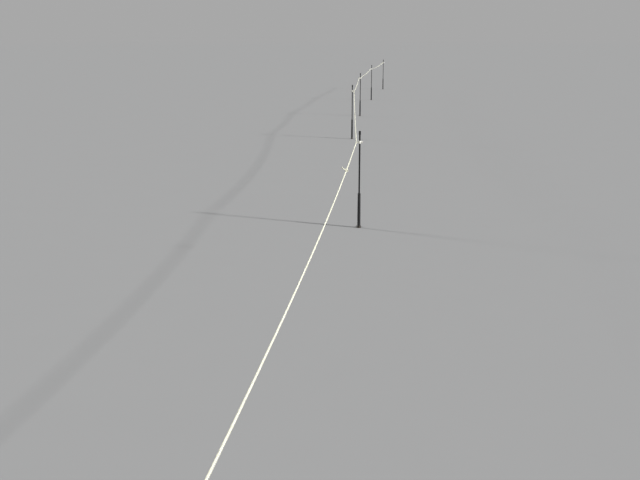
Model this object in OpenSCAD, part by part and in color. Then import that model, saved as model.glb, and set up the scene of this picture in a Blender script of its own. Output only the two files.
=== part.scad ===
// Temporary electric fence: six tread-in stakes that carry one white rope on claw insulators.
// Stake 1, the near one, stands on the origin. The run goes along +Y, and the ground is z = 0.

/* [Fence line] */
// Length of bay 1, measured along the run
bay_1 = 5850; // [5000:50:8000]
// Length of bay 2
bay_2 = 6050; // [2000:50:8000]
// Length of bay 3
bay_3 = 3600; // [2000:50:8000]
// Length of bay 4
bay_4 = 3900; // [2000:50:8000]
// Length of bay 5
bay_5 = 3800; // [2000:50:8000]
// How far stake 2 stands to the right of stake 1
offset_2 = 295; // [-600:5:600]
// How far stake 3 stands to the right of stake 1
offset_3 = 155; // [-600:5:600]
// How far stake 4 stands to the right of stake 1
offset_4 = 265; // [-600:5:900]
// How far stake 5 stands to the right of stake 1
offset_5 = 520; // [-600:5:1200]
// How far stake 6 stands to the right of stake 1
offset_6 = 885; // [-600:5:1500]
// The stake whose insulator faces right, where all others face left (0 for none)
turned_stake = 3; // [0, 1, 2, 3, 4, 5, 6]

/* [Rod and cap] */
// Top of the stake above the ground
stake_h = 830; // [820:5:1200]
// Diameter of the fibreglass rod
rod_d = 14; // [10:0.5:16]
// Wall of the cap round the rod
cap_wall = 2.5; // [1.5:0.5:5]
// Thickness of the cap over the rod's end
cap_roof = 6; // [4:0.5:12]
// How far the cap reaches down the rod
cap_grip = 26; // [12:1:40]
// Rim round the cap's mouth: how far it stands proud
cap_rim = 1; // [0.5:0.5:3]
// Height of that rim
cap_rim_h = 4; // [2:0.5:8]

/* [Foot] */
// Height of the foot's socket above the ground
foot_h = 300; // [120:5:360]
// Outer diameter of the socket at the ground
foot_base_d = 24; // [22:0.5:34]
// Outer diameter of the socket at its top
foot_top_d = 20; // [19:0.5:24]
// Solid height under the rod, inside the socket
foot_floor = 20; // [12:1:60]
// Bead round the socket's mouth: how far it stands proud
bead_t = 3; // [2.5:0.5:3.5]
// Height of that bead
bead_h = 10; // [8:1:20]
// Thickness of the ribs down the socket
rib_t = 3; // [2:0.5:6]
// How far the ribs stand proud of the socket
rib_out = 2; // [1:0.5:2]
// Reach of the tread step from the rod's axis
step_reach = 74; // [60:1:120]
// How far the tread step stands out round the socket
step_rim = 5; // [4:0.5:12]
// Thickness of the tread step
step_t = 6; // [4:0.5:14]
// Height of the web that stiffens the step
web_h = 40; // [20:1:100]
// Height of the web's toe, where it runs out along the step
web_toe = 3; // [2:0.5:8]
// Number of ridges across the step
ridges = 4; // [2:1:5]
// Distance between the ridges
ridge_pitch = 11; // [8:0.5:12]
// Thickness of each ridge
ridge_t = 3.5; // [2:0.5:6]
// Height of each ridge
ridge_h = 1.5; // [1:0.5:4]

/* [Insulator] */
// Height of the collar on the rod
collar_h = 24; // [16:1:36]
// Wall of the collar round the rod
collar_wall = 5.5; // [4:0.5:8]
// How far the rope runs from the rod's axis
rope_off = 28; // [26:0.5:40]
// Wall of the claw round the rope
claw_wall = 3.5; // [2.5:0.5:6]
// Length of the claw along the rope
claw_len = 16; // [10:1:30]
// Width of the slot through which the rope is pressed into the claw
claw_slot = 3.5; // [2:0.5:6]
// How far the slot leans out from the vertical
claw_lean = 28; // [10:1:60]
// Diameter of the arm between the collar and the claw
arm_d = 9; // [5:0.5:12]
// How far the arm's root widens where it runs into the collar
arm_flare = 2; // [0.5:0.5:3]
// Diameter of the hood on the arm, which keeps a dry gap when it rains
hood_d = 23; // [16:1:30]
// Thickness of the hood
hood_t = 1.6; // [1:0.2:3]
// How far the hood leans towards the claw
hood_lean = 2; // [0.5:0.5:3]

/* [Clamp screw] */
// Diameter of the screw's shank
screw_d = 6; // [4:0.5:8]
// Diameter of its knob
knob_d = 17; // [12:0.5:24]
// Thickness of its knob
knob_t = 8; // [5:0.5:12]
// Bevel round the knob's outer end
knob_bevel = 2; // [0.5:0.5:2.5]
// Number of finger scallops round the knob
scallops = 8; // [5:1:10]
// Length of the boss that the screw runs in, beyond the collar
boss_len = 3; // [2:0.5:8]
// Thread left between the boss and the knob
screw_left = 1; // [0.5:0.5:6]

/* [Rope] */
// Diameter of the rope
rope_d = 8; // [5:0.5:9]
// Height of the rope at the stakes
rope_h = 735; // [400:5:760]
// Sag of the rope in a bay of the length that follows
rope_sag = 74; // [10:1:200]
// Length of a bay that has that sag
sag_bay = 6000; // [5500:50:6500]
// Where the splice knot sits in bay 1, from stake 1
splice_at = 4660; // [500:10:4800]
// Turns of rope round itself in a knot
knot_turns = 2.25; // [1.25:0.5:3.25]
// Pitch of those turns
knot_pitch = 9; // [9:0.5:12]
// Angle above the level at which a knot's first turn starts
knot_from = 30; // [0:5:90]
// Length of a knot's free tail
tail_len = 34; // [20:1:90]
// Distance from an end stake to its knot
tie_len = 86; // [80:1:200]

/* [Fit] */
// Clearance of moulded parts round the rod
rod_fit = 0.1; // [0.05:0.05:0.4]
// Clearance of the claw round the rope
rope_fit = 0.3; // [0.1:0.1:0.8]
// Gap between the rod and the rope that is tied round it
lap_gap = 1; // [0.5:0.5:3]

/* [Hidden] */
stakes = 6;
bays = [bay_1, bay_2, bay_3, bay_4, bay_5];
offsets = [0, offset_2, offset_3, offset_4, offset_5, offset_6];
$fn = 48;
rod_r = rod_d / 2;
rope_r = rope_d / 2;
bore_r = rod_r + rod_fit;
collar_r = bore_r + collar_wall;
cap_r = bore_r + cap_wall;
step_w = foot_base_d + 2 * step_rim;
eye_r = rope_r + rope_fit;
claw_r = eye_r + claw_wall;
// The rope lies on the floor of the claw, so the insulator's middle is a little above the rope's
clamp_z = rope_h + rope_fit;
collar_top = clamp_z + collar_h / 2;
rope_sides = 8;
span_steps = 14;
wrap_steps = 12;
bite = 0.5;

function stake_y(i) = i == 0 ? 0 : stake_y(i - 1) + bays[i - 1];
function rope_side(i) = i + 1 == turned_stake ? 1 : -1;
function eye_x(i) = offsets[i] + rope_side(i) * rope_off;
function sag(span) = rope_sag * pow(span / sag_bay, 2);

// Middle of the rope in a bay, at a distance y along the run: level in the claws, hanging between
function rope_at(bay, y) =
    let (
        ya = stake_y(bay) + claw_len / 2,
        yb = stake_y(bay + 1) - claw_len / 2,
        t = min(max((y - ya) / (yb - ya), 0), 1)
    )
    [eye_x(bay) + (eye_x(bay + 1) - eye_x(bay)) * t, y, rope_h - 4 * sag(yb - ya) * t * (1 - t)];

// A closed skin over a row of rings that have the same number of points
module skin(rings) {
    n = len(rings[0]);
    last = len(rings) - 1;
    polyhedron(
        points = [for (ring = rings) each ring],
        faces = concat(
            [[for (k = [n - 1 : -1 : 0]) k]],
            [for (j = [0 : last - 1], k = [0 : n - 1])
                [j * n + k, j * n + (k + 1) % n, (j + 1) * n + (k + 1) % n, (j + 1) * n + k]],
            [[for (k = [0 : n - 1]) last * n + k]]
        )
    );
}

// Rope along any path: each ring turns with the path and isn't twisted
function unit(v) = v / norm(v);
function heading(p, i) = unit(p[min(i + 1, len(p) - 1)] - p[max(i - 1, 0)]);
function ring_sides(p, i, u) =
    i == len(p) ? [] :
    let (t = heading(p, i), v = unit(u - (u * t) * t))
    concat([v], ring_sides(p, i + 1, v));

module rope_along(path) {
    us = ring_sides(path, 0, [0, 0, 1]);
    skin([for (i = [0 : len(path) - 1])
        let (w = cross(us[i], heading(path, i)))
        [for (k = [0 : rope_sides - 1])
            let (a = k * 360 / rope_sides)
            path[i] + rope_r * (cos(a) * us[i] + sin(a) * w)]]);
}

// A smooth curve through a few points
function between(a, b, c, d, t) =
    0.5 * (2 * b + (c - a) * t + (2 * a - 5 * b + 4 * c - d) * t * t + (3 * b - a - 3 * c + d) * t * t * t);
function smooth(p, n) =
    [for (i = [0 : len(p) - 2], j = [0 : n - 1])
        between(p[max(i - 1, 0)], p[i], p[i + 1], p[min(i + 2, len(p) - 1)], j / n), p[len(p) - 1]];

// Turns of one rope round the rope of a bay, starting at angle a0 and running along +Y or -Y
function wraps(bay, y0, along, a0, turn) =
    [for (k = [0 : knot_turns * wrap_steps])
        let (
            a = a0 + turn * k * 360 / wrap_steps,
            c = rope_at(bay, y0 + along * k * knot_pitch / wrap_steps)
        )
        c + rope_d * [cos(a), 0, sin(a)]];

module place(i) {
    translate([offsets[i], stake_y(i), 0])
        facing(rope_side(i))
            children();
}

// Stake parts are drawn with the rope on their +X side, and are mirrored where it runs on the left
module facing(side) {
    mirror([side < 0 ? 1 : 0, 0, 0])
        children();
}

// Moulded foot: a ribbed socket on a tread step
module foot() {
    color("#1d1f20")
    difference() {
        union() {
            rotate_extrude()
                polygon([
                    [0, 0], [foot_base_d / 2, 0], [foot_top_d / 2, foot_h - bead_h],
                    [foot_top_d / 2 + bead_t, foot_h - bead_h + bead_t],
                    [foot_top_d / 2 + bead_t, foot_h - bead_t],
                    [foot_top_d / 2, foot_h], [0, foot_h]
                ]);
            for (a = [0 : 90 : 270])
                rotate([90, 0, a])
                    linear_extrude(rib_t, center = true)
                        polygon([
                            [0, 0], [foot_base_d / 2 + rib_out, 0],
                            [foot_top_d / 2 + rib_out, foot_h - bead_h / 2], [0, foot_h - bead_h / 2]
                        ]);
            rotate(90)
                step();
        }
        translate([0, 0, foot_floor])
            cylinder(h = foot_h, r = bore_r);
    }
}

// The tread step runs along the fence, with ridges for the sole and a web that curves up to the socket
module step() {
    tip_x = step_reach - step_w / 2;
    web_x = foot_base_d / 2;
    toe_z = step_t + web_toe;
    web_edge = [for (a = [0 : 10 : 90])
        [tip_x - (tip_x - web_x) * cos(a), web_h - (web_h - toe_z) * sin(a)]];
    linear_extrude(step_t) {
        circle(d = step_w);
        translate([tip_x, 0])
            circle(d = step_w);
        translate([0, -step_w / 2])
            square([tip_x, step_w]);
    }
    rotate([90, 0, 0])
        linear_extrude(rib_t, center = true)
            polygon(concat([[0, 0], [0, web_h]], web_edge, [[tip_x, 0]]));
    for (k = [0 : ridges - 1])
        translate([tip_x - k * ridge_pitch, 0, step_t + (ridge_h - bite) / 2])
            cube([ridge_t, step_w - 2 * ridge_t, ridge_h + bite], center = true);
}

// Black fibreglass rod, from the socket's floor to the cap's roof
module rod() {
    color("#121314")
        translate([0, 0, foot_floor])
            cylinder(h = stake_h - cap_roof - foot_floor, r = rod_r);
}

// Moulded cap with a domed top and a rim
module cap() {
    low = stake_h - cap_roof - cap_grip;
    dome = cap_roof * 0.75;
    color("#191a1b")
    difference() {
        rotate_extrude()
            polygon(concat(
                [[0, low], [cap_r + cap_rim, low], [cap_r + cap_rim, low + cap_rim_h],
                    [cap_r, low + cap_rim_h + cap_rim]],
                [for (a = [0 : 15 : 90])
                    [cap_r - dome + dome * cos(a), stake_h - dome + dome * sin(a)]],
                [[0, stake_h]]
            ));
        translate([0, 0, low - bite])
            cylinder(h = cap_grip + bite, r = bore_r);
    }
}

// White insulator: a collar on the rod, an arm with a hood, and a claw that holds the rope
module insulator() {
    rim = 1.5;
    color("#f2f1ea")
    translate([0, 0, clamp_z])
    difference() {
        union() {
            rotate_extrude()
                polygon([
                    [0, -collar_h / 2], [collar_r - rim, -collar_h / 2],
                    [collar_r, -collar_h / 2 + rim], [collar_r, collar_h / 2 - rim],
                    [collar_r - rim, collar_h / 2], [0, collar_h / 2]
                ]);
            arm();
            claw();
            rotate([0, -90, 0])
                cylinder(h = collar_r + boss_len, d = screw_d + 2 * collar_wall);
        }
        cylinder(h = 2 * collar_h, r = bore_r, center = true);
        translate([rope_off, 0, 0])
            rotate([90, 0, 0])
                cylinder(h = 2 * claw_len, r = eye_r, center = true);
        rotate([0, -90, 0])
            cylinder(h = 2 * collar_r, d = screw_d + 2 * rod_fit);
    }
}

// The arm is turned about its own axis: a root that widens into the collar, a hood that leans to the
// claw, and a neck
module arm() {
    arm_r = arm_d / 2;
    root_r = arm_r + arm_flare;
    root_x = sqrt(collar_r * collar_r - root_r * root_r) - bite;
    hood_x = (collar_r + rope_off - claw_r - hood_t) / 2;
    neck_x = min(collar_r + arm_flare, hood_x - bite);
    rotate([0, 90, 0])
        rotate_extrude()
            polygon([
                [0, 0], [root_r, 0], [root_r, root_x], [arm_r, neck_x], [arm_r, hood_x],
                [hood_d / 2, hood_x + hood_lean], [hood_d / 2, hood_x + hood_lean + hood_t],
                [arm_r, hood_x + hood_t], [arm_r, rope_off - rope_r], [0, rope_off - rope_r]
            ]);
}

// The claw is a thick ring with a slot, and its lips flare beside the slot
module claw() {
    translate([rope_off, 0, 0])
    rotate([90, 0, 0])
    linear_extrude(claw_len, center = true)
    difference() {
        union() {
            circle(r = claw_r);
            rotate(-claw_lean)
                translate([0, claw_r])
                    square([claw_slot + 2 * claw_wall, 2 * claw_wall], center = true);
        }
        rotate(-claw_lean)
            translate([-claw_slot / 2, 0])
                square([claw_slot, 2 * claw_r]);
    }
}

// Thumb screw: its shank bears on the rod, and its knob is scalloped for the fingers
module clamp_screw() {
    knob_x = collar_r + boss_len + screw_left;
    scallop_r = knob_d * PI / scallops / 4;
    color("#e9e7de")
    translate([0, 0, clamp_z])
    rotate([0, -90, 0])
    union() {
        translate([0, 0, rod_r])
            cylinder(h = knob_x - rod_r + bite, d = screw_d);
        translate([0, 0, knob_x])
            difference() {
                rotate_extrude()
                    polygon([
                        [0, 0], [knob_d / 2, 0], [knob_d / 2, knob_t - knob_bevel],
                        [knob_d / 2 - knob_bevel, knob_t], [0, knob_t]
                    ]);
                for (k = [0 : scallops - 1])
                    rotate(k * 360 / scallops)
                        translate([knob_d / 2 + scallop_r / 3, 0, -bite])
                            cylinder(h = knob_t + 2 * bite, r = scallop_r);
            }
    }
}

// One bay of rope, from the middle of one claw to the middle of the next
module rope(bay) {
    ya = stake_y(bay) + claw_len / 2;
    yb = stake_y(bay + 1) - claw_len / 2;
    ys = concat(
        [stake_y(bay)],
        [for (k = [0 : span_steps]) ya + (yb - ya) * k / span_steps],
        [stake_y(bay + 1)]
    );
    color("#efeee2")
    skin([for (y = ys)
        [for (k = [0 : rope_sides - 1])
            let (a = -90 + k * 360 / rope_sides)
            rope_at(bay, y) + rope_r * [cos(a), 0, sin(a)]]]);
}

// End of the rope: once round the rod on top of the collar, then knotted to its own bay
module end_tie(i, bay, along) {
    side = rope_side(i);
    lap = collar_top - rope_h + rope_r;
    round_rod = rod_r + rope_r + lap_gap;
    loop = [
        [rope_off, 0, 0], [rope_off, -claw_len / 2 - 1, 0], [rope_off - 3, -20, 5],
        [round_rod, -23, 0.8 * lap], [0, -round_rod - 3, lap], [-round_rod + 2, -8, lap],
        [-round_rod, 4, lap], [-5, 15, lap], [6, 34, 0.85 * lap], [15, 60, 0.5 * lap]
    ];
    near = [for (p = loop) [offsets[i] + side * p.x, stake_y(i) + along * p.y, rope_h + p.z]];
    knot = wraps(bay, stake_y(i) + along * tie_len, along, side < 0 ? knot_from : 180 - knot_from, side);
    end = knot[len(knot) - 1];
    tail = [for (s = [0.25, 0.5, 0.75, 1])
        end + tail_len * s * [side * 0.5, along * 0.7, -0.5 * s]];
    color("#e6e5d8")
        rope_along(concat(smooth(near, 4), knot, tail));
}

// Knot that joins two lengths of rope, with one tail up to the left and one down along the rope
module splice() {
    knot = wraps(0, splice_at, 1, 180 - knot_from, -1);
    start = knot[0];
    end = knot[len(knot) - 1];
    tail_up = [for (s = [1, 0.75, 0.5, 0.25]) start + tail_len * s * [-0.75, -0.25, 0.45 + 0.15 * s]];
    tail_down = [for (s = [0.4, 0.8]) end + tail_len * s * [0.1, 0.7, -0.5 - 0.3 * s]];
    color("#e6e5d8")
        rope_along(concat(tail_up, knot, tail_down));
}

for (i = [0 : stakes - 1]) {
    place(i) foot();
    place(i) rod();
    place(i) cap();
    place(i) insulator();
    place(i) clamp_screw();
}
for (bay = [0 : stakes - 2])
    rope(bay);
end_tie(0, 0, 1);  // near_tie
end_tie(stakes - 1, stakes - 2, -1);  // far_tie
splice();  // splice_knot
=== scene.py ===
import math

import bmesh
import bpy
import numpy as np
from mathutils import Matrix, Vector


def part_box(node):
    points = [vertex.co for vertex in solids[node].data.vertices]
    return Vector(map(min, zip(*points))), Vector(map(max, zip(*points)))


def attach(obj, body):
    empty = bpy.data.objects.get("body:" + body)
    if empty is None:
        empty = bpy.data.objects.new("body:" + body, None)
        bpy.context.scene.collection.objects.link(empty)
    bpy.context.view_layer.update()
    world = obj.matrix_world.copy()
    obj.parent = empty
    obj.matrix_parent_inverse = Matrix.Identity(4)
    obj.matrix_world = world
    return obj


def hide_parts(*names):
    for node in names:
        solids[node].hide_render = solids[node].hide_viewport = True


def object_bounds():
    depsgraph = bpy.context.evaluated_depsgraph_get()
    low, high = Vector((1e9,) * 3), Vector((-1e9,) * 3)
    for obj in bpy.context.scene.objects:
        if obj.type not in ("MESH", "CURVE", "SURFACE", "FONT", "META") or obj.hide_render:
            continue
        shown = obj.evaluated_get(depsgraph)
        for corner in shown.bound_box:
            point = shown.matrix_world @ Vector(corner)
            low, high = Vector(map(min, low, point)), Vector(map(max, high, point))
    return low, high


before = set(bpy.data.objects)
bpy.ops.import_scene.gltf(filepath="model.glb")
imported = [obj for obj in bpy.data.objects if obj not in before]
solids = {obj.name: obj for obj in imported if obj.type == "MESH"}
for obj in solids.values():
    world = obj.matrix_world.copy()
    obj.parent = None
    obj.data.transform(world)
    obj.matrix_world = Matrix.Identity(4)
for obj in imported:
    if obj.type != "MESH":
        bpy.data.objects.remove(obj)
cad_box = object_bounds()


# Camera: the photograph's own viewpoint, 1.65 m above the ground, beside the near stake and a little
# behind it. The lens is longer than the photograph's, so that the thin stakes and rope fill the frame.
eye = (0.316, -1.2, 1.65)
photo_focal = 481.0
photo_width = 640
photo_middle = (320, 240)
photo_horizon = 224.5
fence_in_photo = (296, 344)
closer = 1.75
sensor = 36
sees_to = 500

tilt_down = math.atan((photo_middle[1] - photo_horizon) / photo_focal)


def sight_line(x, y):
    """The direction in which the photograph's camera saw a pixel."""
    across = (x - photo_middle[0]) / photo_focal
    down = (y - photo_middle[1]) / photo_focal
    return Vector((
        across,
        math.cos(tilt_down) - down * math.sin(tilt_down),
        -math.sin(tilt_down) - down * math.cos(tilt_down),
    ))


camera_data = bpy.data.cameras.new("camera")
camera_data.sensor_width = sensor
camera_data.lens = photo_focal * closer / photo_width * sensor
camera_data.clip_end = sees_to
camera = bpy.data.objects.new("camera", camera_data)
camera.location = eye
camera.rotation_euler = (-sight_line(*fence_in_photo)).to_track_quat("Z", "Y").to_euler()
bpy.context.scene.collection.objects.link(camera)
bpy.context.scene.camera = camera


# Studio: a pale plain floor that fades into the backdrop far from the fence, one low soft sun from the
# right, as in the photograph, and a weaker one from the left for the other side of the rope.
floor_half = 600
floor_grey = (0.33, 0.33, 0.33)
speckle_grey = (0.3, 0.3, 0.3)
speckle_share = 0.05
# What the camera sees of the floor in this light, so that its far end can fade into the backdrop
lit_floor_grey = (0.392, 0.392, 0.392)
black = (0.0, 0.0, 0.0)
fade_from = 45
fade_to = 150
air_grey = (0.25, 0.255, 0.26)
backdrop_top_grey = (0.50, 0.51, 0.52)
backdrop_top = 0.6


def add(tree, kind, settings=None, **inputs):
    """A new shader node of that kind, with its settings and its inputs' values."""
    made = tree.nodes.new("ShaderNode" + kind)
    for name, value in (settings or {}).items():
        setattr(made, name, value)
    for name, value in inputs.items():
        made.inputs[name.replace("_", " ")].default_value = value
    return made


def feed(tree, socket, value):
    """Sets an input to a number or a colour, or links another node's output to it."""
    if isinstance(value, bpy.types.NodeSocket):
        tree.links.new(value, socket)
    elif isinstance(value, tuple):
        socket.default_value = (*value, 1)
    else:
        socket.default_value = value


def calc(tree, operation, first, second=0.0):
    made = add(tree, "Math", {"operation": operation})
    feed(tree, made.inputs[0], first)
    feed(tree, made.inputs[1], second)
    return made.outputs[0]


def ramp(tree, value, low, high, start=0.0, end=1.0):
    """A smooth change from start to end while the value goes from low to high."""
    made = add(tree, "MapRange", {"interpolation_type": "SMOOTHSTEP"})
    for name, given in (("Value", value), ("From Min", low), ("From Max", high),
                        ("To Min", start), ("To Max", end)):
        feed(tree, made.inputs[name], given)
    return made.outputs[0]


def tint(tree, share, base, over, strength=1.0):
    """The base colour with the other one over it, by that share times the strength."""
    factor, first_colour, second_colour, mixed = 0, 6, 7, 2
    made = add(tree, "Mix", {"data_type": "RGBA"})
    feed(tree, made.inputs[factor], share if strength == 1 else calc(tree, "MULTIPLY", share, strength))
    feed(tree, made.inputs[first_colour], base)
    feed(tree, made.inputs[second_colour], over)
    return made.outputs[mixed]


def new_material(name):
    material = bpy.data.materials.new(name)
    material.use_nodes = True
    tree = material.node_tree
    return material, tree, tree.nodes["Principled BSDF"]


floor_paint, tree, shader = new_material("floor_paint")
place = add(tree, "TexCoord").outputs["Object"]
speckle = add(tree, "TexNoise", Scale=3.0, Detail=4.0)
feed(tree, speckle.inputs["Vector"], place)
speckled = ramp(tree, speckle.outputs["Fac"], low=0.3, high=0.7, end=speckle_share)
far = add(tree, "VectorMath", {"operation": "LENGTH"})
feed(tree, far.inputs[0], place)
faded = ramp(tree, far.outputs["Value"], fade_from, fade_to)
paint = tint(tree, speckled, floor_grey, speckle_grey)
feed(tree, shader.inputs["Base Color"], tint(tree, faded, paint, black))
feed(tree, shader.inputs["Emission Color"], tint(tree, faded, black, lit_floor_grey))
shader.inputs["Emission Strength"].default_value = 1.0
shader.inputs["Roughness"].default_value = 1.0
shader.inputs["Specular IOR Level"].default_value = 0.0

bpy.ops.mesh.primitive_plane_add(size=2 * floor_half)
floor = bpy.context.object
floor.name = "studio_floor"
floor.location = (0, (cad_box[0].y + cad_box[1].y) / 2, 0)
floor.data.materials.append(floor_paint)

# The camera sees a backdrop that pales upwards, and the fence is lit by plain grey air
world = bpy.data.worlds.new("studio_air")
world.use_nodes = True
tree = world.node_tree
air = tree.nodes["Background"]
feed(tree, air.inputs["Color"], air_grey)
upward = add(tree, "SeparateXYZ")
feed(tree, upward.inputs[0], add(tree, "TexCoord").outputs["Generated"])
height = ramp(tree, upward.outputs["Z"], 0.0, backdrop_top)
backdrop = add(tree, "Background")
feed(tree, backdrop.inputs["Color"], tint(tree, height, lit_floor_grey, backdrop_top_grey))
seen = add(tree, "MixShader")
feed(tree, seen.inputs[0], add(tree, "LightPath").outputs["Is Camera Ray"])
feed(tree, seen.inputs[1], air.outputs[0])
feed(tree, seen.inputs[2], backdrop.outputs[0])
feed(tree, tree.nodes["World Output"].inputs["Surface"], seen.outputs[0])
bpy.context.scene.world = world


def soft_sun(name, azimuth, elevation, strength, width):
    """A sun in a direction from the fence, in degrees, with 0 behind the camera and 90 to its right."""
    lamp = bpy.data.lights.new(name, "SUN")
    lamp.energy = strength
    lamp.angle = math.radians(width)
    sun = bpy.data.objects.new(name, lamp)
    a, e = math.radians(azimuth), math.radians(elevation)
    towards = Vector((math.sin(a) * math.cos(e), -math.cos(a) * math.cos(e), math.sin(e)))
    sun.rotation_euler = towards.to_track_quat("Z", "Y").to_euler()
    bpy.context.scene.collection.objects.link(sun)


soft_sun("key_sun", azimuth=70, elevation=27, strength=4.8, width=3)
soft_sun("left_sun", azimuth=245, elevation=18, strength=2.4, width=8)
bpy.context.scene.view_settings.view_transform = "Standard"


# Stakes: six rods of black fibreglass, drawn through a die, so the glass runs lengthwise and the
# weather opens it in pale streaks. Each is pushed into its foot and stands where the fence needs it.
stake_count = 6
stake_numbers = range(1, stake_count + 1)
rod_black = (0.006, 0.0065, 0.007)
rod_streak = (0.013, 0.014, 0.0145)
bare_glass = (0.075, 0.077, 0.075)
mud = (0.17, 0.125, 0.082)
splash_ragged_by = 0.16
splash_edge = 0.035
most_specks = 0.25


def effect(name, inputs, outputs):
    """An empty shader node group, with its inputs' names and values and its outputs' names."""
    tree = bpy.data.node_groups.new(name, "ShaderNodeTree")
    for label, value in inputs.items():
        socket = tree.interface.new_socket(label, in_out="INPUT", socket_type="NodeSocketFloat")
        socket.default_value = value
    for label in outputs:
        tree.interface.new_socket(label, in_out="OUTPUT", socket_type="NodeSocketFloat")
    given = tree.nodes.new("NodeGroupInput").outputs
    wanted = tree.nodes.new("NodeGroupOutput").inputs
    return tree, given, wanted


def use(tree, group, **inputs):
    """Places a node group in a material, with its own values, and gives its outputs."""
    made = add(tree, "Group", {"node_tree": group})
    for name, value in inputs.items():
        feed(tree, made.inputs[name.replace("_", " ")], value)
    return made.outputs


# Patches that the weather leaves, longer than they are wide where they are stretched
patches, given, wanted = effect(
    "weather_patches", {"Size": 0.05, "Low": 0.45, "High": 0.65, "Stretch": 1.0}, ["Mask"])
stretch = add(patches, "CombineXYZ", X=1.0, Y=1.0)
feed(patches, stretch.inputs["Z"], given["Stretch"])
longer = add(patches, "VectorMath", {"operation": "DIVIDE"})
feed(patches, longer.inputs[0], add(patches, "TexCoord").outputs["Object"])
feed(patches, longer.inputs[1], stretch.outputs[0])
cloud = add(patches, "TexNoise", Detail=5.0, Roughness=0.62)
feed(patches, cloud.inputs["Vector"], longer.outputs[0])
feed(patches, cloud.inputs["Scale"], calc(patches, "DIVIDE", 1.0, given["Size"]))
feed(patches, wanted["Mask"], ramp(patches, cloud.outputs["Fac"], given["Low"], given["High"]))

# Mud that rain throws up from the ground: a film with a ragged top, and specks that get fewer above it
splash, given, wanted = effect(
    "ground_splash", {"Film Top": 0.08, "Speck Top": 0.3, "Speck Size": 0.004}, ["Mask"])
place = add(splash, "TexCoord").outputs["Object"]
height = add(splash, "SeparateXYZ")
feed(splash, height.inputs[0], place)
ragged = add(splash, "TexNoise", Scale=38.0, Detail=6.0, Roughness=0.7)
feed(splash, ragged.inputs["Vector"], place)
raised = calc(splash, "MULTIPLY", ragged.outputs["Fac"], splash_ragged_by)
film_top = calc(splash, "ADD", given["Film Top"], splash_ragged_by / 2)
film_solid = calc(splash, "SUBTRACT", film_top, splash_edge)
film_gone = calc(splash, "ADD", film_top, splash_edge)
level = calc(splash, "ADD", height.outputs["Z"], raised)
film = ramp(splash, level, film_solid, film_gone, start=1.0, end=0.0)
speck = add(splash, "TexVoronoi", {"feature": "F1"})
feed(splash, speck.inputs["Vector"], place)
feed(splash, speck.inputs["Scale"], calc(splash, "DIVIDE", 1.0, given["Speck Size"]))
pick = add(splash, "SeparateColor")
feed(splash, pick.inputs[0], speck.outputs["Color"])
share = ramp(splash, height.outputs["Z"], 0.0, given["Speck Top"], start=most_specks, end=0.0)
chosen = calc(splash, "LESS_THAN", pick.outputs[0], share)
dot = ramp(splash, speck.outputs["Distance"], low=0.12, high=0.3, start=1.0, end=0.0)
feed(splash, wanted["Mask"], calc(splash, "MAXIMUM", film, calc(splash, "MULTIPLY", chosen, dot)))

# Glass fibres that run up the rod
fibres, given, wanted = effect(
    "drawn_fibres", {"Width": 0.0006, "Length": 0.06}, ["Value", "Height"])
shrink = add(fibres, "CombineXYZ")
for axis, size in (("X", "Width"), ("Y", "Width"), ("Z", "Length")):
    feed(fibres, shrink.inputs[axis], given[size])
drawn = add(fibres, "VectorMath", {"operation": "DIVIDE"})
feed(fibres, drawn.inputs[0], add(fibres, "TexCoord").outputs["Object"])
feed(fibres, drawn.inputs[1], shrink.outputs[0])
streak = add(fibres, "TexNoise", Scale=1.0, Detail=3.0, Roughness=0.55)
feed(fibres, streak.inputs["Vector"], drawn.outputs[0])
feed(fibres, wanted["Value"], ramp(fibres, streak.outputs["Fac"], low=0.3, high=0.7))
feed(fibres, wanted["Height"], streak.outputs["Fac"])


def roughen(tree, shader, worn, smooth, rough):
    """Sets how rough the surface is: smooth where it isn't worn, and rough where it is."""
    feed(tree, shader.inputs["Roughness"], ramp(tree, worn, low=0.0, high=1.0, start=smooth, end=rough))


def bump(tree, shader, height, depth):
    """Makes the surface catch the light as if it stood up by the height, times the depth."""
    made = add(tree, "Bump", Strength=1.0, Distance=depth)
    feed(tree, made.inputs["Height"], height)
    feed(tree, shader.inputs["Normal"], made.outputs[0])


rod_fibreglass, tree, shader = new_material("rod_fibreglass")
grain = use(tree, fibres, Width=0.0007, Length=0.05)
faded = use(tree, patches, Size=0.06, Low=0.46, High=0.7, Stretch=4.0)["Mask"]
opened = calc(tree, "MULTIPLY", faded, ramp(tree, grain["Value"], low=0.45, high=0.9))
dirty = use(tree, splash, Film_Top=0.02, Speck_Top=0.42)["Mask"]
coat = tint(tree, grain["Value"], rod_black, rod_streak)
weathered = tint(tree, opened, coat, bare_glass, strength=0.6)
feed(tree, shader.inputs["Base Color"], tint(tree, dirty, weathered, mud, strength=0.8))
roughen(tree, shader, calc(tree, "MAXIMUM", opened, dirty), smooth=0.38, rough=0.8)
shader.inputs["Specular IOR Level"].default_value = 0.35
bump(tree, shader, grain["Height"], depth=0.00025)

for n in stake_numbers:
    rod = solids[f"rod_{n}"]
    rod.data.materials.clear()
    rod.data.materials.append(rod_fibreglass)


# Feet: black polythene mouldings that a boot treads into the ground, a ribbed socket on a step with
# ridges. The edges are rounded by the mould, scuffed by boots, and splashed with mud near the ground.
foot_edge = 0.0007
foot_black = (0.009, 0.0095, 0.010)
foot_chalk = (0.020, 0.021, 0.022)
foot_scuff = (0.15, 0.15, 0.145)
dry_mud = (0.27, 0.215, 0.155)
crust_height = 4.0
same_corner = 2e-6
smallest_face = 1e-10
flat_below = math.radians(0.2)
smooth_below = math.radians(32)
crease_above = math.radians(50)
folded_above = math.radians(140)
# An edge nearer than this to a fold, in radii of the rounding, stays sharp
fold_reach = 1.5


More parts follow.
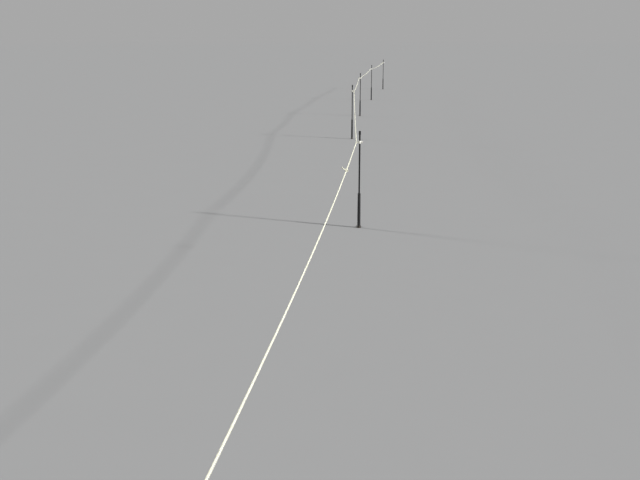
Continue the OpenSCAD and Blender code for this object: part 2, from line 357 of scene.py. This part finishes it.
def folds(shape):
    """Places where two faces lie back on each other."""
    shape.normal_update()
    places = []
    for edge in shape.edges:
        if edge.is_manifold and min(face.calc_area() for face in edge.link_faces) > smallest_face:
            if edge.calc_face_angle(0) > folded_above:
                places.append((edge.verts[0].co + edge.verts[1].co) / 2)
    return places


def off_edge(place, edge):
    """How far a place is from an edge."""
    start, end = (corner.co for corner in edge.verts)
    share = (place - start).dot(end - start) / (end - start).length_squared
    return (place - start.lerp(end, min(max(share, 0), 1))).length


def rounded(solid, radius):
    """The solid with its outer edges rounded, apart from those that have no room for it."""
    crisp = bmesh.new()
    crisp.from_mesh(solid.data)
    bmesh.ops.remove_doubles(crisp, verts=crisp.verts, dist=same_corner)
    bmesh.ops.dissolve_limit(crisp, angle_limit=flat_below, verts=crisp.verts, edges=crisp.edges)
    crisp.edges.index_update()
    outer = {edge.index: edge for edge in crisp.edges
             if edge.is_manifold and edge.is_convex and edge.calc_face_angle(0) > smooth_below}
    while True:
        shape = crisp.copy()
        shape.edges.ensure_lookup_table()
        bmesh.ops.bevel(shape, geom=[shape.edges[i] for i in outer], offset=radius, offset_type="OFFSET",
                        segments=2, profile=0.5, affect="EDGES", clamp_overlap=False)
        places = folds(shape)
        tight = [i for i, edge in outer.items()
                 if any(off_edge(place, edge) < fold_reach * radius for place in places)]
        if not tight:
            crisp.free()
            return shape
        for i in tight:
            del outer[i]
        shape.free()


def moulded(name, solid_name, edge, material):
    """Puts a moulding with rounded edges in the place of a solid."""
    mesh = bpy.data.meshes.new(name)
    shape = rounded(solids[solid_name], edge)
    shape.to_mesh(mesh)
    shape.free()
    mesh.polygons.foreach_set("use_smooth", [True] * len(mesh.polygons))
    mesh.set_sharp_from_angle(angle=crease_above)
    mesh.materials.append(material)
    piece = bpy.data.objects.new(name, mesh)
    piece.modifiers.new("flat_faces", "WEIGHTED_NORMAL").keep_sharp = True
    bpy.context.scene.collection.objects.link(piece)
    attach(piece, "root")
    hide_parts(solid_name)


# Edges rubbed here and there, found where a wide bevel turns away from the true face
rubbed, given, wanted = effect("rubbed_edges", {"Radius": 0.002, "Patch Size": 0.008}, ["Mask"])
blunt = add(rubbed, "Bevel", {"samples": 6})
feed(rubbed, blunt.inputs["Radius"], given["Radius"])
agree = add(rubbed, "VectorMath", {"operation": "DOT_PRODUCT"})
feed(rubbed, agree.inputs[0], blunt.outputs[0])
feed(rubbed, agree.inputs[1], add(rubbed, "NewGeometry").outputs["Normal"])
turn = ramp(rubbed, agree.outputs["Value"], low=0.995, high=0.9)
broken = use(rubbed, patches, Size=given["Patch Size"], Low=0.35, High=0.6)["Mask"]
feed(rubbed, wanted["Mask"], calc(rubbed, "MULTIPLY", turn, broken))

# The fine grain that a mould's steel leaves on plastic
mould_grain, given, wanted = effect("mould_grain", {"Grains a Metre": 1000.0}, ["Height"])
speckle = add(mould_grain, "TexNoise", Detail=2.0)
feed(mould_grain, speckle.inputs["Vector"], add(mould_grain, "TexCoord").outputs["Object"])
feed(mould_grain, speckle.inputs["Scale"], given["Grains a Metre"])
feed(mould_grain, wanted["Height"], speckle.outputs["Fac"])

foot_plastic, tree, shader = new_material("foot_plastic")
chalky = use(tree, patches, Size=0.03, Low=0.4, High=0.75)["Mask"]
scuffed = use(tree, rubbed, Radius=0.0022, Patch_Size=0.01)["Mask"]
dirty = use(tree, splash, Film_Top=-0.005, Speck_Top=0.20)["Mask"]
thick = use(tree, patches, Size=0.012, Low=0.3, High=0.7)["Mask"]
body = tint(tree, chalky, foot_black, foot_chalk)
worn = tint(tree, scuffed, body, foot_scuff, strength=0.55)
crust = tint(tree, thick, mud, dry_mud)
caked = calc(tree, "MULTIPLY", dirty, ramp(tree, thick, low=0.0, high=1.0, start=0.35, end=0.8))
feed(tree, shader.inputs["Base Color"], tint(tree, caked, worn, crust))
roughen(tree, shader, calc(tree, "MAXIMUM", dirty, scuffed), smooth=0.42, rough=0.9)
lumps = calc(tree, "MULTIPLY", calc(tree, "MULTIPLY", dirty, thick), crust_height)
skin = use(tree, mould_grain, Grains_a_Metre=900)["Height"]
bump(tree, shader, calc(tree, "ADD", skin, lumps), depth=0.00018)

for n in stake_numbers:
    moulded(f"tread_foot_{n}", f"foot_{n}", foot_edge, foot_plastic)


# Caps: black polythene mouldings pushed over the ends of the rods. They keep the rain out of the glass
# and its splinters off the hands, and the sun bleaches their tops.
cap_edge = 0.0004
cap_black = (0.014, 0.0145, 0.015)
cap_bleached = (0.055, 0.056, 0.056)
cap_scuff = (0.13, 0.13, 0.13)

# Faces turned to the sky or away from it: From and To are 1 for straight up and -1 for straight down
tilted, given, wanted = effect("tilted_faces", {"From": 0.0, "To": 1.0, "Least": 0.0}, ["Mask"])
facing = add(tilted, "SeparateXYZ")
feed(tilted, facing.inputs[0], add(tilted, "NewGeometry").outputs["Normal"])
feed(tilted, wanted["Mask"],
     ramp(tilted, facing.outputs["Z"], given["From"], given["To"], start=given["Least"]))

cap_plastic, tree, shader = new_material("cap_plastic")
chalky = use(tree, patches, Size=0.012, Low=0.35, High=0.7)["Mask"]
sunny = use(tree, tilted, From=0.1, To=1.0)["Mask"]
bleached = calc(tree, "MULTIPLY", sunny, ramp(tree, chalky, low=0.0, high=1.0, start=0.4))
scuffed = use(tree, rubbed, Radius=0.001, Patch_Size=0.005)["Mask"]
body = tint(tree, bleached, cap_black, cap_bleached)
feed(tree, shader.inputs["Base Color"], tint(tree, scuffed, body, cap_scuff, strength=0.5))
roughen(tree, shader, bleached, smooth=0.36, rough=0.62)
bump(tree, shader, use(tree, mould_grain, Grains_a_Metre=1400)["Height"], depth=0.00006)

for n in stake_numbers:
    moulded(f"rod_cap_{n}", f"cap_{n}", cap_edge, cap_plastic)


# Insulators: white polypropylene mouldings, each a collar clamped on the rod and an arm with a hood
# and a claw, into which the rope is pressed. Grime stays underneath, where no rain washes it off.
insulator_edge = 0.0005
insulator_white = (0.80, 0.80, 0.765)
insulator_yellowed = (0.74, 0.72, 0.62)
green_grime = (0.24, 0.24, 0.19)

insulator_plastic, tree, shader = new_material("insulator_plastic")
grime = use(tree, patches, Size=0.011, Low=0.42, High=0.75)["Mask"]
sheltered = use(tree, tilted, From=0.3, To=-0.9, Least=0.25)["Mask"]
old = use(tree, patches, Size=0.04, Low=0.35, High=0.7)["Mask"]
body = tint(tree, old, insulator_white, insulator_yellowed)
greened = calc(tree, "MULTIPLY", grime, sheltered)
feed(tree, shader.inputs["Base Color"], tint(tree, greened, body, green_grime, strength=0.55))
roughen(tree, shader, grime, smooth=0.3, rough=0.6)
bump(tree, shader, use(tree, mould_grain, Grains_a_Metre=1100)["Height"], depth=0.00005)

for n in stake_numbers:
    moulded(f"claw_insulator_{n}", f"insulator_{n}", insulator_edge, insulator_plastic)


# Clamp screws: white moulded thumb screws with a scalloped knob, turned by hand through the boss of
# the collar until they bear on the rod. Earth from the fingers stays in the scallops.
screw_edge = 0.0003
screw_white = (0.77, 0.765, 0.70)
finger_earth = (0.33, 0.30, 0.22)
screw_scuff = (0.82, 0.82, 0.80)

screw_plastic, tree, shader = new_material("screw_plastic")
grime = use(tree, patches, Size=0.006, Low=0.38, High=0.7)["Mask"]
scuffed = use(tree, rubbed, Radius=0.001, Patch_Size=0.004)["Mask"]
body = tint(tree, grime, screw_white, finger_earth, strength=0.5)
feed(tree, shader.inputs["Base Color"], tint(tree, scuffed, body, screw_scuff, strength=0.5))
roughen(tree, shader, grime, smooth=0.32, rough=0.65)
bump(tree, shader, use(tree, mould_grain, Grains_a_Metre=1100)["Height"], depth=0.00005)

for n in stake_numbers:
    moulded(f"thumb_screw_{n}", f"clamp_screw_{n}", screw_edge, screw_plastic)


# Rope: white fencing rope of three strands, each spun from polythene filaments and laid round the
# others, with a bare steel wire in each that carries the current. It hangs between the claws.
rope_d = 0.008
rope_lay = 0.030
rings_a_turn = 12
ring_step = rope_lay / rings_a_turn
strands = 3
strand_r = 0.00188
strand_out = 0.00199
strand_sides = 8
filaments = 14
fleck_length = 0.012
# The filaments turn back round their strand as steeply as the strands turn round the rope
unlay = 2 * math.pi * strand_out / rope_lay / strand_r
end_opens_over = 0.006
wire_r = 0.00015
wire_sides = 3
# Each strand's wire lies this many corners of the strand further round it than the last strand's
wires_apart = 3
# The share of the map that is kept for the wires
wires_on_map = 0.08
claw_len = 0.016
rope_off = 0.028
turned_stake = 3
yarn_white = (0.90, 0.89, 0.745)
yarn_faded = (0.80, 0.785, 0.62)
# Colour of real dirt on the rope, also used for painted shade in the filament valleys
soil_and_crease_shade = (0.27, 0.27, 0.20)
steel = (0.55, 0.55, 0.54)
dull_steel = (0.33, 0.31, 0.28)


def unit_rows(rows):
    return rows / np.linalg.norm(rows, axis=1, keepdims=True)


def even_steps(points, step):
    """The same line with its points evenly spaced, about a step apart."""
    points = np.array(points, float)
    along = np.concatenate([[0], np.cumsum(np.linalg.norm(np.diff(points, axis=0), axis=1))])
    count = max(2, round(along[-1] / step))
    wanted_at = np.linspace(0, along[-1], count + 1)
    return np.column_stack([np.interp(wanted_at, along, points[:, axis]) for axis in range(3)])


def carried_frame(path):
    """The directions up and across at each point of a path, carried along it without a twist."""
    headings = unit_rows(np.gradient(path, axis=0))
    ups = np.empty_like(path)
    up = np.array((0.0, 0.0, 1.0))
    for i, heading in enumerate(headings):
        up = up - heading * up.dot(heading)
        up = up / np.linalg.norm(up)
        ups[i] = up
    return ups, np.cross(headings, ups)


def squared_to(line, outward):
    """The outward directions made square to the line, and those square to both."""
    headings = unit_rows(np.gradient(line, axis=0))
    out = unit_rows(outward - headings * (outward * headings).sum(1)[:, None])
    return out, np.cross(headings, out)


def turned_by(angle, out, side):
    """The directions at those angles from out, towards side."""
    return np.cos(angle)[:, None] * out + np.sin(angle)[:, None] * side


def tube(line, outward, turning, radius, sides):
    """The corners of a tube round a line, ring by ring, each ring turned by its own angle."""
    out, side = squared_to(line, outward)
    turns = [turned_by(turning + 2 * math.pi * k / sides, out, side) for k in range(sides)]
    return (line[:, None, :] + radius * np.stack(turns, axis=1)).reshape(-1, 3)


def tube_corners(rings, sides):
    """How far round and along a tube each corner of each face is, counted in sides and rings."""
    ring, k = np.meshgrid(np.arange(rings - 1), np.arange(sides), indexing="ij")
    round_it = np.stack([k, k + 1, k + 1, k], axis=-1).reshape(-1, 4)
    along_it = np.stack([ring, ring, ring + 1, ring + 1], axis=-1).reshape(-1, 4)
    return round_it, along_it


def unrolled(turns, rings, strand, metal):
    """Places on a square map: each tube slit lengthwise and laid in rows, wires above strands."""
    rows = round(math.sqrt(rings.max() * ring_step / (strands * 2 * math.pi * strand_r)))
    row_rings = math.ceil(rings.max() / rows)
    row = rings[:, :1] // row_rings
    bottom, share = (1 - wires_on_map, wires_on_map) if metal else (0, 1 - wires_on_map)
    up = bottom + share * (strand + (row + turns) / rows) / strands
    return np.stack([rings / row_rings - row, up], axis=-1)


def laid_rope(name, path, turned, loosened, materials, solid_name):
    """Puts rope in the place of a solid, its lay begun at the angle turned and its ends loosened."""
    ups, across = carried_frame(path)
    along = np.arange(len(path)) * ring_step
    opened = loosened[0] * np.exp(-along / end_opens_over) \
        + loosened[1] * np.exp(-(along[-1] - along) / end_opens_over)
    corners, quads, caps, quad_metal, cap_metal = [], [], [], [], []
    maps = {"winding": [], "OFBake": []}
    turning = -unlay * along
    first = 0
    for strand in range(strands):
        outward = turned_by(turned + 2 * math.pi * (along / rope_lay + strand / strands), ups, across)
        core = path + (strand_out * (1 + opened))[:, None] * outward
        on_corner = 2 * math.pi * strand * wires_apart / strand_sides
        wire = core + strand_r * turned_by(turning + on_corner, *squared_to(core, outward))
        tubes = ((core, strand_r, strand_sides, 0), (wire, wire_r, wire_sides, 1))
        for line, radius, sides, metal in tubes:
            round_it, along_it = tube_corners(len(path), sides)
            last = first + (len(path) - 1) * sides
            corners.append(tube(line, outward, turning, radius, sides))
            quads.append(first + along_it * sides + round_it % sides)
            caps += [list(range(first + sides - 1, first - 1, -1)), list(range(last, last + sides))]
            quad_metal += [metal] * len(round_it)
            cap_metal += [metal] * 2
            maps["winding"].append(np.stack([strand + round_it / sides, along[along_it]], axis=-1))
            maps["OFBake"].append(unrolled(round_it / sides, along_it, strand, metal))
            first = last + sides
    quads = np.concatenate(quads)
    mesh = bpy.data.meshes.new(name)
    mesh.from_pydata(np.concatenate(corners).tolist(), [], quads.tolist() + caps)
    cap_corners = np.zeros((sum(len(ring) for ring in caps), 2))
    for map_name, places in maps.items():
        layer = mesh.uv_layers.new(name=map_name)
        layer.data.foreach_set("uv", np.concatenate([*places, cap_corners], axis=None))
    for material in materials:
        mesh.materials.append(material)
    mesh.polygons.foreach_set("material_index", quad_metal + cap_metal)
    mesh.polygons.foreach_set("use_smooth", [True] * len(quads) + [False] * len(caps))
    mesh.update()
    piece = bpy.data.objects.new(name, mesh)
    bpy.context.scene.collection.objects.link(piece)
    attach(piece, "root")
    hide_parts(solid_name)


# Filaments side by side round each strand, some a little duller than others for a finger's width
spun, given, wanted = effect(
    "spun_filaments", {"Filaments": 22.0, "Fleck Length": 0.02}, ["Height", "Shade"])
winding = add(spun, "UVMap", {"uv_map": "winding"})
apart = add(spun, "SeparateXYZ")
feed(spun, apart.inputs[0], winding.outputs[0])
counted = calc(spun, "MULTIPLY", apart.outputs["X"], given["Filaments"])
across = calc(spun, "FRACT", counted)
which = add(spun, "CombineXYZ")
feed(spun, which.inputs["X"], calc(spun, "FLOOR", counted))
feed(spun, which.inputs["Y"], calc(spun, "DIVIDE", apart.outputs["Y"], given["Fleck Length"]))
odd = add(spun, "TexNoise", Scale=1.0, Detail=1.0)
feed(spun, odd.inputs["Vector"], which.outputs[0])
feed(spun, wanted["Height"], calc(spun, "SINE", calc(spun, "MULTIPLY", across, math.pi)))
feed(spun, wanted["Shade"], ramp(spun, odd.outputs["Fac"], low=0.3, high=0.7))


def rope_yarn(name, soil_and_shade):
    material, tree, shader = new_material(name)
    yarn = use(tree, spun, Filaments=filaments, Fleck_Length=fleck_length)
    stain = use(tree, patches, Size=0.05, Low=0.42, High=0.72)["Mask"]
    under = use(tree, tilted, From=0.2, To=-0.9, Least=0.35)["Mask"]
    white = tint(tree, yarn["Shade"], yarn_white, yarn_faded)
    # Painted shade: the valleys between the filaments are darkened towards the dirt colour
    painted_crease_shade = ramp(tree, yarn["Height"], low=0.1, high=0.7, start=0.5, end=0.0)
    # The painted valley shade and the real dirt in stains underneath take the same colour
    crease_shade_and_stain = calc(tree, "MAXIMUM", painted_crease_shade, calc(tree, "MULTIPLY", stain, under))
    feed(tree, shader.inputs["Base Color"], tint(tree, crease_shade_and_stain, white, soil_and_crease_shade, strength=soil_and_shade))
    roughen(tree, shader, stain, smooth=0.42, rough=0.7)
    bump(tree, shader, yarn["Height"], depth=0.00007)
    return material


span_yarn = rope_yarn("span_yarn", soil_and_shade=0.4)

wire_steel, tree, shader = new_material("wire_steel")
dulled = use(tree, patches, Size=0.02, Low=0.35, High=0.7)["Mask"]
feed(tree, shader.inputs["Base Color"], tint(tree, dulled, steel, dull_steel))
roughen(tree, shader, dulled, smooth=0.25, rough=0.5)
shader.inputs["Metallic"].default_value = 1.0


def stake_at(n):
    low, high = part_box(f"rod_{n}")
    return Vector(((low.x + high.x) / 2, (low.y + high.y) / 2, 0))


def rope_side(n):
    """Which side of its stake the rope passes: the claws all point one way, apart from one."""
    return 1 if n == turned_stake else -1


bays = range(1, stake_count)
stakes = [stake_at(n) for n in stake_numbers]
rope_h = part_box("rope_1")[1].z - rope_d / 2
sags = [rope_h - rope_d / 2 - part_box(f"rope_{bay}")[0].z for bay in bays]


def rope_at(bay, y):
    """Middle of the rope: level inside the claws, and hanging between them."""
    near, far = stakes[bay - 1], stakes[bay]
    start, end = near.y + claw_len / 2, far.y - claw_len / 2
    t = min(max((y - start) / (end - start), 0), 1)
    near_x = near.x + rope_side(bay) * rope_off
    far_x = far.x + rope_side(bay + 1) * rope_off
    return (near_x + (far_x - near_x) * t, y, rope_h - 4 * sags[bay - 1] * t * (1 - t))


turned = 0.0
for bay in bays:
    start, end = stakes[bay - 1].y, stakes[bay].y
    steps = round((end - start) / ring_step)
    points = [rope_at(bay, start + (end - start) * k / steps) for k in range(steps + 1)]
    path = even_steps(points, ring_step)
    laid_rope(f"fencing_rope_{bay}", path, turned, (0, 0), [span_yarn, wire_steel],
              f"rope_{bay}")
    turned += 2 * math.pi * (len(path) - 1) / rings_a_turn


# Knots: at each end stake the rope goes round the rod above the collar and is knotted to itself, and
# before the second stake two lengths are joined. Hands leave them dirtier, their yarn has deeper painted
# shade in its filament valleys, and the cut tails open.
knot_turns = 2.25
knot_pitch = 0.009
knot_from = 30
wrap_steps = 12
curve_steps = 4
tie_len = 0.086
splice_at = 4.66
rod_r = 0.007
lap_gap = 0.001
tail_len = 0.034
tail_opens = 0.45
# A tie's tail is cut this much shorter than its solid, because its open strands reach out further
tail_cut = 0.0015

# The knots' yarn is dirtier, and the painted shade in its filament valleys is deeper too
knot_yarn = rope_yarn("knot_yarn", soil_and_shade=0.75)
collar_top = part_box("insulator_1")[1].z


def smooth_curve(points, steps):
    """A smooth curve through the points, with that many steps from each to the next."""
    points = [Vector(p) for p in points]
    curve = []
    for i in range(len(points) - 1):
        a, b = points[max(i - 1, 0)], points[i]
        c, d = points[i + 1], points[min(i + 2, len(points) - 1)]
        for k in range(steps):
            t = k / steps
            curve.append(0.5 * (2 * b + (c - a) * t + (2 * a - 5 * b + 4 * c - d) * t ** 2
                                + (3 * b - a - 3 * c + d) * t ** 3))
    return curve + [points[-1]]


def wraps(bay, y, along, first_angle, turn):
    """Turns of rope wound round a bay's rope from y on, along it and round it one way or the other."""
    points = []
    for k in range(int(knot_turns * wrap_steps) + 1):
        angle = math.radians(first_angle + turn * k * 360 / wrap_steps)
        core = Vector(rope_at(bay, y + along * k * knot_pitch / wrap_steps))
        points.append(core + rope_d * Vector((math.cos(angle), 0, math.sin(angle))))
    return points


def end_tie(name, n, bay, along, first_turn, solid_name):
    """Rope led from the claw round the rod, over the collar, and knotted round the bay's rope."""
    side = rope_side(n)
    lap = collar_top - rope_h + rope_d / 2
    round_rod = rod_r + rope_d / 2 + lap_gap
    # Across the run, along it and up, from the middle of the stake at the height of the rope
    loop = [
        (rope_off, 0, 0), (rope_off, -claw_len / 2 - 0.001, 0), (rope_off - 0.003, -0.020, 0.005),
        (round_rod, -0.023, 0.8 * lap), (0, -round_rod - 0.003, lap), (-round_rod + 0.002, -0.008, lap),
        (-round_rod, 0.004, lap), (-0.005, 0.015, lap),
        (0.006, 0.034, 0.85 * lap), (0.015, 0.060, 0.5 * lap),
    ]
    stake = stakes[n - 1]
    near = [(stake.x + side * x, stake.y + along * y, rope_h + z) for x, y, z in loop]
    first_angle = knot_from if side < 0 else 180 - knot_from
    knot = wraps(bay, stake.y + along * tie_len, along, first_angle, side)
    tail = [knot[-1] + (tail_len - tail_cut) * s * Vector((side * 0.5, along * 0.7, -0.5 * s))
            for s in (0.25, 0.5, 0.75, 1)]
    route = smooth_curve(smooth_curve(near + knot[:1], curve_steps) + knot[1:] + tail, curve_steps)
    path = even_steps(route, ring_step)
    laid_rope(name, path, first_turn, (0, tail_opens), [knot_yarn, wire_steel], solid_name)


end_tie("near_knot", 1, 1, 1, 0.0, "near_tie")
end_tie("far_knot", stake_count, stake_count - 1, -1, turned, "far_tie")

joined = wraps(1, splice_at, 1, 180 - knot_from, -1)
tail_up = [joined[0] + tail_len * s * Vector((-0.75, -0.25, 0.45 + 0.15 * s))
           for s in (1, 0.75, 0.5, 0.25)]
tail_down = [joined[-1] + tail_len * s * Vector((0.1, 0.7, -0.5 - 0.3 * s)) for s in (0.4, 0.8)]
path = even_steps(smooth_curve(tail_up + joined + tail_down, curve_steps), ring_step)
laid_rope("splice", path, 0.0, (tail_opens, tail_opens), [knot_yarn, wire_steel],
          "splice_knot")
